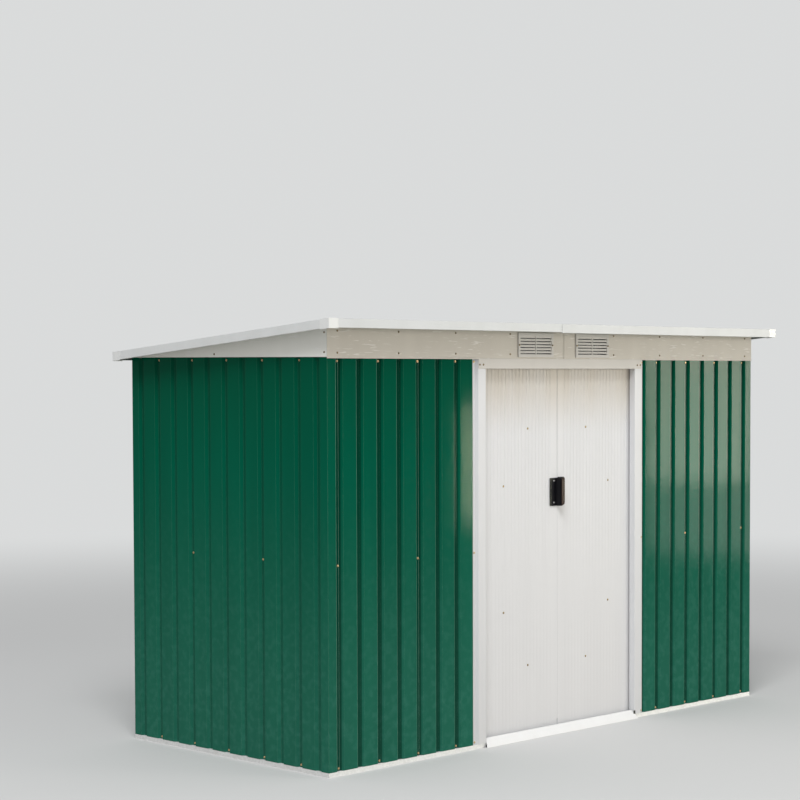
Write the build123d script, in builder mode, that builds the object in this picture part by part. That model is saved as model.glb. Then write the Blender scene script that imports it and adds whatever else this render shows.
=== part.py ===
from build123d import *
import math
import os

# Painted sheet steel pent shed with double sliding doors, in millimetres.
# X runs along the front, -Y is the front, +Z is up.
# The origin lies on the ground under the middle of the roof.

# Overall sizes
body_length = 2696
body_depth = 1190
total_height = 1720
roof_drop = 110
roof_side_overhang = 71
roof_front_overhang = 87
roof_back_overhang = 35

# Sheet metal and the wall ribs: wide flats with narrow grooves pressed inwards
sheet = 1.5
rib_pitch = 107
groove_mouth = 36
groove_floor = 16
groove_depth = 11
least_margin = 50
lap = 5
grooves_per_sheet = 4
first_side_lap = 3

# Heights on the walls, and how far below the roof's front edge the upper ones lie
rail_lip_height = 18
rail_upstand_top = 34
wall_top_drop = 146
door_top_drop = 168
top_rail_drop = 175
upper_track_drop = 190
vent_drop = 37
wall_cover = 12
side_cover = 4
gable_front_rise = 5
gable_back_height = 9.5

# Ground rails
rail_flange = 16
sill_thickness = 2

# Doorway, its frame and the ramp
doorway_width = 960
jamb_width = 44
jamb_flange = 12
reveal_depth = 27.5
reveal_gap = 0.3
header_height = 38
header_lap = 3
ramp_reach = 16
ramp_crest = 7
ramp_flare = 9
ramp_taper = 0.68

# Sliding doors
door_face = 33
door_thickness = 18
door_overlap = 20
door_seam_gap = 5
door_bottom = 20
door_rail_height = 40
door_rib_pitch = 21.4
door_rib_mouth = 10
door_rib_floor = 4
door_rib_depth = 1.5
door_stile = 30
brace_width = 30
brace_depth = 12
brace_inset = 14
skid_length = 60
skid_inset = 60
skid_gap = 0.3

# Door handles
handle_height = 118
handle_plate_width = 45
handle_plate = 3
handle_lip = 4
handle_reach = 34
handle_corner = 12
left_plate_corner = 3
right_plate_corner = 12
right_handle_rise = 3
handle_centre_height = 1018

# Door tracks
track_gap = 8
lower_track_top = 50
lower_track_flange = 25
upper_track_flange = 12

# Top rails and the roof beam
front_rail_flange = 75
back_rail_flange = 44
gable_flange = 25
beam_width = 30
beam_height = 40

# Fascia vents
left_vent_offset = 178
right_vent_offset = 186
vent_width = 218
vent_height = 100
vent_proud = 5
vent_opening_width = 194
vent_opening_height = 75
vent_bar = 5
vent_rows = 6
vent_slot = 4.5
vent_blade_rise = 1.5
vent_blade_inset = 1
vent_blade_seat = 2

# Rolled hem along the lower edge of the fascia, and the lap over its middle seam
hem_height = 6
hem_proud = 2
seam_end = 12
seam_lap = 8
seam_slope = 8
seam_proud = 3.5
seam_gap = 0.3

# Roof edge trims
trim_height = 34
right_trim_height = 37
trim_flange = 25
trim_lip = 12
trim_end_gap = 0.3
trim_joint = -109
trim_joint_gap = 2.2
cap_leg = 48
cap_height = 37
cap_thickness = 1.2

roof_length = body_length + 2 * roof_side_overhang
roof_depth = body_depth + roof_front_overhang + roof_back_overhang
left_x = -body_length / 2
right_x = body_length / 2
roof_left = -roof_length / 2
roof_front = -roof_depth / 2
roof_back = roof_depth / 2
front_y = roof_front + roof_front_overhang
back_y = front_y + body_depth
wall_top = total_height - wall_top_drop
door_top = total_height - door_top_drop
top_rail_bottom = total_height - top_rail_drop
upper_track_bottom = total_height - upper_track_drop
inner_face = groove_depth + 2 * sheet
groove_flank = (groove_mouth - groove_floor) / 2
door_outer = doorway_width / 2 + door_overlap
door_edge = door_seam_gap / 2
frame_edge = doorway_width / 2 + jamb_width
jamb_foot = frame_edge + groove_flank
track_line = door_face + door_thickness + track_gap
roof_slope = roof_drop / roof_depth
slope_direction = Vector(0, 1, -roof_slope)
trim_seat = sheet * math.sqrt(1 + roof_slope**2)
roof_pack = trim_seat + inner_face

LEFT = 1
RIGHT = -1

os.makedirs("parts", exist_ok=True)


def roof_z(y, below=0):
    """Height of the roof's top plane at y, or of a plane that lies below it."""
    return total_height - (y - roof_front) * roof_slope - below


def slope_length(depth):
    """Length along the roof that covers a depth in plan."""
    return depth * math.sqrt(1 + roof_slope**2)


def other_face(points, side):
    """The bends on the sheet's other face, to the left (1) or right (-1) of the line."""
    corners = [Vector(*point) for point in points]
    runs = [(end - start).normalized() for start, end in zip(corners, corners[1:])]
    normals = [Vector(-run.Y, run.X) * side for run in runs]
    shifted = []
    for corner, before, after in zip(corners, [normals[0], *normals], [*normals, normals[-1]]):
        shift = (before + after) * (sheet / (1 + before.dot(after)))
        shifted.append((corner.X + shift.X, corner.Y + shift.Y))
    return shifted


def folded(points, side):
    """Adds to the open sketch a sheet folded along the points."""
    outline(list(points) + other_face(points, side)[::-1])


def outline(points):
    """Adds to the open sketch the closed outline through the points."""
    with BuildLine() as edges:
        Polyline(*points, close=True)
    make_face(edges.edges())


def rib_centres(span):
    """Middles of the grooves on a wall, centred between its two corners."""
    count = int((span - 2 * least_margin) // rib_pitch) + 1
    first = (span - (count - 1) * rib_pitch) / 2
    return [first + i * rib_pitch for i in range(count)]


def groove(middle):
    return [
        (middle - groove_mouth / 2, 0),
        (middle - groove_floor / 2, groove_depth),
        (middle + groove_floor / 2, groove_depth),
        (middle + groove_mouth / 2, 0),
    ]


def lap_start(middle, level):
    """First points of a sheet that starts in a groove, at the level given."""
    return [
        (middle - lap, level),
        (middle + groove_floor / 2, level),
        (middle + groove_mouth / 2, 0),
    ]


def lap_end(middle, level):
    """Last points of a sheet that ends in a groove, at the level given."""
    return [
        (middle - groove_mouth / 2, 0),
        (middle - groove_floor / 2, level),
        (middle + lap, level),
    ]


def middle_sheet(centres, first, last, last_level):
    """A sheet that starts behind its neighbour in one groove and ends in another."""
    points = lap_start(centres[first], under_level)
    for middle in centres[first + 1:last]:
        points += groove(middle)
    return points + lap_end(centres[last], last_level)


def lapped_run(centres, first, last, last_level):
    """The lapped sheets between two grooves, each over the start of the next."""
    breaks = [*range(first, last, grooves_per_sheet), last]
    runs = []
    for start, end in zip(breaks, breaks[1:]):
        level = last_level if end == last else groove_depth
        runs.append(middle_sheet(centres, start, end, level))
    return runs


def write(builder, name):
    builder.part.label = name
    export_step(builder.part, f"parts/{name}.step")


under_level = groove_depth + sheet
side_centres = rib_centres(body_depth)
back_centres = rib_centres(body_length)
last_front_groove = -left_x - jamb_foot - lap
front_count = int((last_front_groove - least_margin) // rib_pitch) + 1
front_margin = last_front_groove - (front_count - 1) * rib_pitch
front_centres = [front_margin + i * rib_pitch for i in range(front_count)]
second_side_lap = first_side_lap + grooves_per_sheet
back_joint = len(back_centres) // 2


def on_front(point):
    return left_x + point[0], front_y + point[1]


def on_left(point):
    return left_x + point[1], front_y + point[0]


def on_back(point):
    return left_x + point[0], back_y - point[1]


# Ground rails: a lip outside, a step that the sheets stand on, an upstand inside
rail_line = [
    (rail_flange, 0),
    (0, 0),
    (0, rail_lip_height),
    (inner_face, rail_lip_height),
    (inner_face, rail_upstand_top),
]
mitre_front_left = Plane(origin=(left_x, front_y, 0), z_dir=(1, -1, 0))
mitre_front_right = Plane(origin=(right_x, front_y, 0), z_dir=(-1, -1, 0))
mitre_back_left = Plane(origin=(left_x, back_y, 0), z_dir=(1, 1, 0))
mitre_back_right = Plane(origin=(right_x, back_y, 0), z_dir=(-1, 1, 0))

with BuildPart() as base_rail_front:
    with BuildSketch(Plane.YZ.offset(left_x)):
        folded([(front_y + u, z) for u, z in rail_line], RIGHT)
    extrude(amount=body_length)
    split(bisect_by=mitre_front_left, keep=Keep.TOP)
    split(bisect_by=mitre_front_right, keep=Keep.TOP)
write(base_rail_front, "base_rail_front")

with BuildPart() as base_rail_back:
    with BuildSketch(Plane.YZ.offset(left_x)):
        folded([(back_y - u, z) for u, z in rail_line], LEFT)
    extrude(amount=body_length)
    split(bisect_by=mitre_back_left, keep=Keep.TOP)
    split(bisect_by=mitre_back_right, keep=Keep.TOP)
write(base_rail_back, "base_rail_back")

with BuildPart() as base_rail_left:
    with BuildSketch(Plane.XZ.offset(-front_y)):
        folded([(left_x + u, z) for u, z in rail_line], RIGHT)
    extrude(amount=-body_depth)
    split(bisect_by=mitre_front_left, keep=Keep.BOTTOM)
    split(bisect_by=mitre_back_left, keep=Keep.BOTTOM)
write(base_rail_left, "base_rail_left")

with BuildPart() as base_rail_right:
    mirror(base_rail_left.part, about=Plane.YZ)
write(base_rail_right, "base_rail_right")

# Plate that the doors run on, and the track behind their lower edges
inside_length = body_length - 2 * rail_flange

with BuildPart() as sill_plate:
    with BuildSketch(Plane.YZ.offset(-inside_length / 2)):
        outline([
            (front_y + rail_flange, 0),
            (front_y + track_line, 0),
            (front_y + track_line, sill_thickness),
            (front_y + rail_flange, sill_thickness),
        ])
    extrude(amount=inside_length)
write(sill_plate, "sill_plate")

with BuildPart() as lower_track:
    with BuildSketch(Plane.YZ.offset(-inside_length / 2)):
        folded([
            (front_y + track_line, lower_track_top),
            (front_y + track_line, 0),
            (front_y + track_line + lower_track_flange, 0),
        ], LEFT)
    extrude(amount=inside_length)
write(lower_track, "lower_track")

# Sloped ramp on the ground and the rail's upstand, its foot a little wider than the doorway
ramp_foot = doorway_width / 2 + ramp_flare
ramp_end_left = Plane(origin=(-ramp_foot, front_y - ramp_reach, 0), z_dir=(-1, ramp_taper, 0))
ramp_end_right = Plane(origin=(ramp_foot, front_y - ramp_reach, 0), z_dir=(1, ramp_taper, 0))

with BuildPart() as threshold_ramp:
    with BuildSketch(Plane.YZ.offset(-ramp_foot)):
        outline([
            (front_y - ramp_reach, 0),
            (front_y - ramp_reach, sheet),
            (front_y + ramp_crest, rail_upstand_top + sheet),
            (front_y + inner_face + sheet, rail_upstand_top + sheet),
            (front_y + inner_face + sheet, rail_upstand_top),
            (front_y + ramp_crest + sheet / 2, rail_upstand_top),
            (front_y - ramp_reach + 2 * sheet, 0),
        ])
    extrude(amount=2 * ramp_foot)
    split(bisect_by=ramp_end_left, keep=Keep.BOTTOM)
    split(bisect_by=ramp_end_right, keep=Keep.BOTTOM)
write(threshold_ramp, "threshold_ramp")

# Wall sheets; those of the sides are cut along the gables' lower edges
wall_plane = Plane.XY.offset(rail_lip_height)
wall_height = wall_top + wall_cover - rail_lip_height
side_blank = total_height - rail_lip_height
gable_front_bottom = wall_top + gable_front_rise
gable_back_bottom = roof_z(back_y, roof_pack) - gable_back_height
side_cut = Plane(
    origin=(0, front_y, gable_front_bottom + side_cover),
    x_dir=(1, 0, 0),
    z_dir=(0, gable_front_bottom - gable_back_bottom, body_depth),
)

with BuildPart() as left_wall_front:
    front_return = [
        (groove_depth, front_margin + lap),
        (groove_depth, front_margin - groove_floor / 2),
        (0, front_margin - groove_mouth / 2),
        (0, 0),
    ]
    corner_sheet = list(front_return)
    for middle in side_centres[:first_side_lap]:
        corner_sheet += groove(middle)
    corner_sheet += lap_end(side_centres[first_side_lap], groove_depth)
    with BuildSketch(wall_plane):
        folded([on_left(p) for p in corner_sheet], RIGHT)
    extrude(amount=side_blank)
    second_sheet = middle_sheet(side_centres, first_side_lap, second_side_lap, groove_depth)
    with BuildSketch(wall_plane):
        folded([on_left(p) for p in second_sheet], RIGHT)
    extrude(amount=side_blank)
    split(bisect_by=side_cut, keep=Keep.BOTTOM)
write(left_wall_front, "left_wall_front")

with BuildPart() as left_wall_back:
    back_margin = back_centres[0]
    corner_sheet = lap_start(side_centres[second_side_lap], under_level)
    for middle in side_centres[second_side_lap + 1:]:
        corner_sheet += groove(middle)
    corner_sheet += [
        (body_depth, 0),
        (body_depth, back_margin - groove_mouth / 2),
        (body_depth - groove_depth, back_margin - groove_floor / 2),
        (body_depth - groove_depth, back_margin + lap),
    ]
    with BuildSketch(wall_plane):
        folded([on_left(p) for p in corner_sheet], RIGHT)
    extrude(amount=side_blank)
    split(bisect_by=side_cut, keep=Keep.BOTTOM)
write(left_wall_back, "left_wall_back")

with BuildPart() as right_wall_front:
    mirror(left_wall_front.part, about=Plane.YZ)
write(right_wall_front, "right_wall_front")

with BuildPart() as right_wall_back:
    mirror(left_wall_back.part, about=Plane.YZ)
write(right_wall_back, "right_wall_back")

# The front sheets end in the groove that the jamb's flange is screwed into
with BuildPart() as front_wall_left:
    for run in lapped_run(front_centres, 0, len(front_centres) - 1, groove_depth):
        with BuildSketch(wall_plane):
            folded([on_front(p) for p in run], LEFT)
        extrude(amount=wall_height)
write(front_wall_left, "front_wall_left")

with BuildPart() as front_wall_right:
    mirror(front_wall_left.part, about=Plane.YZ)
write(front_wall_right, "front_wall_right")

with BuildPart() as back_wall_left:
    for run in lapped_run(back_centres, 0, back_joint, groove_depth):
        with BuildSketch(wall_plane):
            folded([on_back(p) for p in run], RIGHT)
        extrude(amount=wall_height)
write(back_wall_left, "back_wall_left")

with BuildPart() as back_wall_right:
    for run in lapped_run(back_centres, back_joint, len(back_centres) - 1, under_level):
        with BuildSketch(wall_plane):
            folded([on_back(p) for p in run], RIGHT)
        extrude(amount=wall_height)
write(back_wall_right, "back_wall_right")

# Door frame: each jamb lies in the wall's last groove, rises like a rib's flank to the
# face and turns back along the doorway, over the rail's upstand and under the top rail
jamb_edge = doorway_width / 2
reveal_foot = rail_upstand_top + reveal_gap
reveal_head = top_rail_bottom - reveal_gap

with BuildPart() as jamb_left:
    with BuildSketch(Plane.XY.offset(rail_lip_height)):
        folded([
            (-jamb_foot - jamb_flange, front_y + groove_depth - sheet),
            (-jamb_foot, front_y + groove_depth - sheet),
            (-frame_edge, front_y - sheet),
            (-jamb_edge, front_y - sheet),
            (-jamb_edge, front_y + under_level),
        ], LEFT)
    extrude(amount=wall_top - rail_lip_height)
    with BuildSketch(Plane.XY.offset(reveal_foot)):
        with Locations((-jamb_edge, front_y + under_level)):
            Rectangle(sheet, reveal_depth - under_level, align=(Align.MAX, Align.MIN))
    extrude(amount=reveal_head - reveal_foot)
write(jamb_left, "jamb_left")

with BuildPart() as jamb_right:
    mirror(jamb_left.part, about=Plane.YZ)
write(jamb_right, "jamb_right")

# The header lies on the jambs and the fascia and turns back between the jambs
header_bottom = wall_top - header_height
soffit_end = jamb_edge - reveal_gap

with BuildPart() as door_header:
    with BuildSketch(Plane.XZ.offset(sheet - front_y)):
        with Locations((0, header_bottom)):
            Rectangle(2 * frame_edge, header_height + header_lap, align=(Align.CENTER, Align.MIN))
    extrude(amount=sheet)
    with BuildSketch(Plane.XY.offset(header_bottom)):
        with Locations((0, front_y - sheet)):
            Rectangle(2 * soffit_end, reveal_depth + sheet, align=(Align.CENTER, Align.MIN))
    extrude(amount=sheet)
write(door_header, "door_header")

# Top rails under the roof, and the guide behind the doors' upper edges
rail_length = body_length - 2 * gable_flange

with BuildPart() as front_top_rail:
    with BuildSketch(Plane.YZ.offset(-rail_length / 2)):
        web = front_y + inner_face
        folded([
            (web, top_rail_bottom),
            (web, roof_z(web, roof_pack)),
            (front_y + front_rail_flange, roof_z(front_y + front_rail_flange, roof_pack)),
        ], RIGHT)
    extrude(amount=rail_length)
write(front_top_rail, "front_top_rail")

with BuildPart() as back_top_rail:
    with BuildSketch(Plane.YZ.offset(-rail_length / 2)):
        web = back_y - inner_face
        folded([
            (web, top_rail_bottom),
            (web, roof_z(web, roof_pack)),
            (back_y - back_rail_flange, roof_z(back_y - back_rail_flange, roof_pack)),
        ], LEFT)
    extrude(amount=rail_length)
write(back_top_rail, "back_top_rail")

with BuildPart() as upper_track:
    with BuildSketch(Plane.YZ.offset(-rail_length / 2)):
        guide = front_y + track_line
        folded([
            (guide + upper_track_flange, upper_track_bottom),
            (guide, upper_track_bottom),
            (guide, roof_z(guide + sheet, roof_pack + sheet) - sheet * roof_slope),
        ], RIGHT)
    extrude(amount=rail_length)
write(upper_track, "upper_track")

# Beam across the middle of the roof
with BuildPart() as roof_beam:
    with BuildSketch(Plane.YZ.offset(-rail_length / 2)):
        beam_front = -beam_width / 2
        beam_back = beam_width / 2
        folded([
            (beam_back, roof_z(beam_back, roof_pack)),
            (beam_front, roof_z(beam_front, roof_pack)),
            (beam_front, roof_z(beam_front, roof_pack + beam_height)),
            (beam_back, roof_z(beam_front, roof_pack + beam_height)),
        ], LEFT)
    extrude(amount=rail_length)
write(roof_beam, "roof_beam")

# Fascia in two sheets, each with an opening behind its vent
vent_middle = total_height - vent_drop - vent_height / 2
fascia_top = roof_z(front_y, roof_pack)


def fascia_sheet(end, vent_offset):
    """Adds a hemmed fascia sheet from the left corner to its end, cut out for the vent."""
    with BuildSketch(Plane.XZ.offset(-front_y)) as face:
        outline([
            (left_x - sheet, wall_top),
            (end, wall_top),
            (end, fascia_top),
            (left_x - sheet, fascia_top),
        ])
        with Locations((-vent_offset, vent_middle)):
            Rectangle(vent_opening_width, vent_opening_height, mode=Mode.SUBTRACT)
    extrude(face.sketch, amount=sheet)
    with BuildSketch(Plane.XZ.offset(sheet - front_y)) as hem:
        outline([
            (left_x - sheet, wall_top),
            (-frame_edge - reveal_gap, wall_top),
            (-frame_edge - reveal_gap, wall_top + hem_height),
            (left_x - sheet, wall_top + hem_height),
        ])
    extrude(hem.sketch, amount=hem_proud)


# The left sheet's end is bent forwards and laps over the right sheet, above the header
with BuildPart() as fascia_left:
    lap_bend = seam_end - seam_lap - seam_slope
    lap_foot = wall_top + header_lap + seam_gap
    fascia_sheet(lap_bend, left_vent_offset)
    with BuildSketch(Plane.XY.offset(lap_foot)):
        folded([
            (lap_bend - seam_lap, front_y),
            (lap_bend, front_y),
            (seam_end - seam_lap, front_y - seam_proud),
            (seam_end, front_y - seam_proud),
        ], RIGHT)
    extrude(amount=fascia_top - lap_foot)
write(fascia_left, "fascia_left")

with BuildPart() as mirrored_sheet:
    fascia_sheet(seam_lap - seam_gap - seam_end, right_vent_offset)

with BuildPart() as fascia_right:
    mirror(mirrored_sheet.part, about=Plane.YZ)
write(fascia_right, "fascia_right")

# Louvred vents: a raised frame with flat blades and narrow slots beside a centre bar
fascia_face = front_y - sheet
blade_step = vent_opening_height / vent_rows
blade_height = blade_step - vent_slot
blade_length = vent_opening_width + 2 * vent_blade_seat
blade_front = fascia_face - vent_proud + vent_blade_inset
blade_back = fascia_face - vent_blade_inset


def vent(offset):
    """Adds a vent whose middle lies to the left of the shed's middle."""
    with BuildSketch(Plane.XZ.offset(-fascia_face)) as frame:
        with Locations((-offset, vent_middle)):
            Rectangle(vent_width, vent_height)
            Rectangle(vent_opening_width, vent_opening_height, mode=Mode.SUBTRACT)
            Rectangle(vent_bar, vent_height)
    extrude(frame.sketch, amount=vent_proud)
    with BuildSketch(Plane.YZ.offset(-offset - blade_length / 2)) as blades:
        for row in range(vent_rows):
            foot = vent_middle - vent_opening_height / 2 + row * blade_step + vent_slot
            outline([
                (blade_front, foot),
                (blade_back, foot + vent_blade_rise),
                (blade_back, foot + vent_blade_rise + blade_height),
                (blade_front, foot + blade_height),
            ])
    extrude(blades.sketch, amount=blade_length)


with BuildPart() as vent_left:
    vent(left_vent_offset)
write(vent_left, "vent_left")

with BuildPart() as mirrored_vent:
    vent(right_vent_offset)

with BuildPart() as vent_right:
    mirror(mirrored_vent.part, about=Plane.YZ)
write(vent_right, "vent_right")

# Gables: tapered plates over the side walls with a flange under the roof
with BuildPart() as gable_left:
    with BuildSketch(Plane.YZ.offset(left_x - sheet)):
        outline([
            (front_y, gable_front_bottom),
            (back_y, gable_back_bottom),
            (back_y, roof_z(back_y, roof_pack)),
            (front_y, roof_z(front_y, roof_pack)),
        ])
    extrude(amount=sheet)
    with BuildSketch(Plane.YZ.offset(left_x)):
        outline([
            (front_y, roof_z(front_y, roof_pack)),
            (back_y, roof_z(back_y, roof_pack)),
            (back_y, roof_z(back_y, roof_pack + sheet)),
            (front_y, roof_z(front_y, roof_pack + sheet)),
        ])
    extrude(amount=gable_flange)
write(gable_left, "gable_left")

with BuildPart() as gable_right:
    mirror(gable_left.part, about=Plane.YZ)
write(gable_right, "gable_right")

# Ribbed roof sheets, pressed like the walls, with the grooves running to the back
sheet_front = roof_front + sheet
sheet_run = slope_length(roof_depth - 2 * sheet)
roof_section = Plane.XZ.offset(-sheet_front)
roof_span = roof_length - 2 * sheet
roof_centres = rib_centres(roof_span)
roof_joint = len(roof_centres) // 2


def on_roof(point):
    return roof_left + sheet + point[0], roof_z(sheet_front, trim_seat + point[1])


with BuildPart() as roof_sheet_left:
    edge_sheet = [(0, 0)]
    for middle in roof_centres[:roof_joint]:
        edge_sheet += groove(middle)
    edge_sheet += lap_end(roof_centres[roof_joint], groove_depth)
    with BuildSketch(roof_section):
        folded([on_roof(p) for p in edge_sheet], RIGHT)
    extrude(amount=sheet_run, dir=slope_direction)
write(roof_sheet_left, "roof_sheet_left")

with BuildPart() as roof_sheet_right:
    edge_sheet = lap_start(roof_centres[roof_joint], under_level)
    for middle in roof_centres[roof_joint + 1:]:
        edge_sheet += groove(middle)
    edge_sheet += [(roof_span, 0)]
    with BuildSketch(roof_section):
        folded([on_roof(p) for p in edge_sheet], RIGHT)
    extrude(amount=sheet_run, dir=slope_direction)
write(roof_sheet_right, "roof_sheet_right")

# Channel trims round the roof's edge, the right front one a little taller
def front_trim_line(height):
    return [
        (roof_front + trim_flange, roof_z(roof_front + trim_flange)),
        (roof_front, roof_z(roof_front)),
        (roof_front, roof_z(roof_front, height)),
        (roof_front + trim_lip, roof_z(roof_front, height)),
    ]


back_trim_line = [
    (roof_back - trim_flange, roof_z(roof_back - trim_flange)),
    (roof_back, roof_z(roof_back)),
    (roof_back, roof_z(roof_back, trim_height)),
    (roof_back - trim_lip, roof_z(roof_back, trim_height)),
]

with BuildPart() as roof_trim_front_left:
    with BuildSketch(Plane.YZ.offset(roof_left)):
        folded(front_trim_line(trim_height), LEFT)
    extrude(amount=trim_joint - roof_left)
write(roof_trim_front_left, "roof_trim_front_left")

with BuildPart() as roof_trim_front_right:
    right_trim_start = trim_joint + trim_joint_gap
    with BuildSketch(Plane.YZ.offset(right_trim_start)):
        folded(front_trim_line(right_trim_height), LEFT)
    extrude(amount=-roof_left - right_trim_start)
write(roof_trim_front_right, "roof_trim_front_right")

with BuildPart() as roof_trim_back:
    with BuildSketch(Plane.YZ.offset(roof_left)):
        folded(back_trim_line, RIGHT)
    extrude(amount=roof_length)
write(roof_trim_back, "roof_trim_back")

with BuildPart() as roof_trim_left:
    trim_start = roof_front + trim_flange + trim_end_gap
    with BuildSketch(Plane.XZ.offset(-trim_start)):
        folded([
            (roof_left + trim_flange, roof_z(trim_start)),
            (roof_left, roof_z(trim_start)),
            (roof_left, roof_z(trim_start, trim_height)),
            (roof_left + trim_lip, roof_z(trim_start, trim_height)),
        ], LEFT)
    extrude(amount=slope_length(-2 * trim_start), dir=slope_direction)
write(roof_trim_left, "roof_trim_left")

with BuildPart() as roof_trim_right:
    mirror(roof_trim_left.part, about=Plane.YZ)
write(roof_trim_right, "roof_trim_right")

# Moulded caps over the four corners of the trims
with BuildPart() as roof_corner_caps:
    for start, way in ((roof_front, 1), (roof_back - cap_leg, -1)):
        with BuildSketch(Plane.XZ.offset(-start)):
            outline([
                (roof_left - cap_thickness, roof_z(start, -cap_thickness)),
                (roof_left + cap_leg, roof_z(start, -cap_thickness)),
                (roof_left + cap_leg, roof_z(start)),
                (roof_left, roof_z(start)),
                (roof_left, roof_z(start, cap_height)),
                (roof_left - cap_thickness, roof_z(start, cap_height)),
            ])
        extrude(amount=slope_length(cap_leg), dir=slope_direction)
        edge = roof_front if way > 0 else roof_back
        with BuildSketch(Plane.XZ.offset(-edge)):
            outline([
                (roof_left - cap_thickness, roof_z(edge, -cap_thickness)),
                (roof_left + cap_leg, roof_z(edge, -cap_thickness)),
                (roof_left + cap_leg, roof_z(edge, cap_height)),
                (roof_left - cap_thickness, roof_z(edge, cap_height)),
            ])
        extrude(amount=way * cap_thickness)
    mirror(about=Plane.YZ)
write(roof_corner_caps, "roof_corner_caps")

# Left door: a finely ribbed sheet with folded edges, channels and diagonal braces
door_height = door_top - door_bottom
door_y = front_y + door_face
channel_y = door_y + door_rib_depth + sheet
channel_depth = door_thickness - door_rib_depth - sheet

with BuildPart() as left_door_panel:
    line = [(-door_outer, door_y + door_thickness), (-door_outer, door_y)]
    ribbed = door_outer - door_edge - 2 * door_stile
    rib_count = int(ribbed // door_rib_pitch)
    rib_start = -door_outer + door_stile + (ribbed - (rib_count - 1) * door_rib_pitch) / 2
    for i in range(rib_count):
        middle = rib_start + i * door_rib_pitch
        line += [
            (middle - door_rib_mouth / 2, door_y),
            (middle - door_rib_floor / 2, door_y + door_rib_depth),
            (middle + door_rib_floor / 2, door_y + door_rib_depth),
            (middle + door_rib_mouth / 2, door_y),
        ]
    line += [(-door_edge, door_y), (-door_edge, door_y + door_thickness)]
    with BuildSketch(Plane.XY.offset(door_bottom)):
        folded(line, LEFT)
    extrude(amount=door_height)
write(left_door_panel, "left_door_panel")

channel_line = [
    (channel_y + channel_depth, 0),
    (channel_y, 0),
    (channel_y, door_rail_height),
    (channel_y + channel_depth, door_rail_height),
]
channel_length = door_outer - door_edge - 2 * sheet

with BuildPart() as left_door_bottom_rail:
    with BuildSketch(Plane.YZ.offset(-door_outer + sheet)):
        folded([(y, door_bottom + z) for y, z in channel_line], RIGHT)
    extrude(amount=channel_length)
write(left_door_bottom_rail, "left_door_bottom_rail")

with BuildPart() as left_door_top_rail:
    with BuildSketch(Plane.YZ.offset(-door_outer + sheet)):
        folded([(y, door_top - door_rail_height + z) for y, z in channel_line], RIGHT)
    extrude(amount=channel_length)
write(left_door_top_rail, "left_door_top_rail")

with BuildPart() as left_door_brace:
    brace_top = door_top - door_rail_height - brace_inset
    brace_bottom = door_bottom + door_rail_height + brace_inset
    brace_middle = (brace_top + brace_bottom) / 2
    brace_inner = -door_edge - 2 * brace_inset
    brace_outer = -door_outer + 2 * brace_inset
    with BuildSketch(Plane.XZ.offset(-channel_y)):
        with BuildLine():
            Polyline((brace_inner, brace_top), (brace_outer, brace_middle), (brace_inner, brace_bottom))
        trace(line_width=brace_width)
    extrude(amount=-brace_depth)
    with BuildSketch(Plane.XZ.offset(-channel_y - sheet)):
        with BuildLine():
            Polyline((brace_inner, brace_top), (brace_outer, brace_middle), (brace_inner, brace_bottom))
        trace(line_width=brace_width - 2 * sheet)
    extrude(amount=-brace_depth, mode=Mode.SUBTRACT)
write(left_door_brace, "left_door_brace")

with BuildPart() as left_door_skids:
    skid_top = door_bottom
    skid_bottom = sill_thickness + skid_gap
    for skid_x in (-door_outer + skid_inset, -door_edge - skid_inset - skid_length):
        with BuildSketch(Plane.XY.offset(skid_bottom)):
            with Locations((skid_x, channel_y)):
                Rectangle(skid_length, channel_depth, align=(Align.MIN, Align.MIN))
        extrude(amount=skid_top - skid_bottom)
write(left_door_skids, "left_door_skids")

def handle(bottom, plate_corner):
    """Adds the left door's handle: a screwed plate with a grip along the seam."""
    with BuildSketch(Plane.XZ.offset(-door_y)) as plate:
        with Locations((-door_edge, bottom)):
            Rectangle(handle_plate_width, handle_height, align=(Align.MAX, Align.MIN))
        fillet(plate.vertices().group_by(Axis.X)[0], radius=plate_corner)
    extrude(plate.sketch, amount=handle_plate)
    with BuildSketch(Plane.YZ.offset(-door_edge - handle_lip)) as grip:
        with Locations((door_y - handle_plate, bottom)):
            Rectangle(handle_reach, handle_height, align=(Align.MAX, Align.MIN))
        fillet(grip.vertices().group_by(Axis.X)[0], radius=handle_corner)
    extrude(grip.sketch, amount=handle_lip)


handle_bottom = handle_centre_height - handle_height / 2

with BuildPart() as left_door_handle:
    handle(handle_bottom, left_plate_corner)
write(left_door_handle, "left_door_handle")

# The right door is the left one mirrored
with BuildPart() as right_door_panel:
    mirror(left_door_panel.part, about=Plane.YZ)
write(right_door_panel, "right_door_panel")

with BuildPart() as right_door_bottom_rail:
    mirror(left_door_bottom_rail.part, about=Plane.YZ)
write(right_door_bottom_rail, "right_door_bottom_rail")

with BuildPart() as right_door_top_rail:
    mirror(left_door_top_rail.part, about=Plane.YZ)
write(right_door_top_rail, "right_door_top_rail")

with BuildPart() as right_door_brace:
    mirror(left_door_brace.part, about=Plane.YZ)
write(right_door_brace, "right_door_brace")

with BuildPart() as right_door_skids:
    mirror(left_door_skids.part, about=Plane.YZ)
write(right_door_skids, "right_door_skids")

# The right handle sits a little higher and its plate has rounder corners
with BuildPart() as mirrored_handle:
    handle(handle_bottom + right_handle_rise, right_plate_corner)

with BuildPart() as right_door_handle:
    mirror(mirrored_handle.part, about=Plane.YZ)
write(right_door_handle, "right_door_handle")
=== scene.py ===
import math

import bpy
from mathutils import Matrix, Vector


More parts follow.
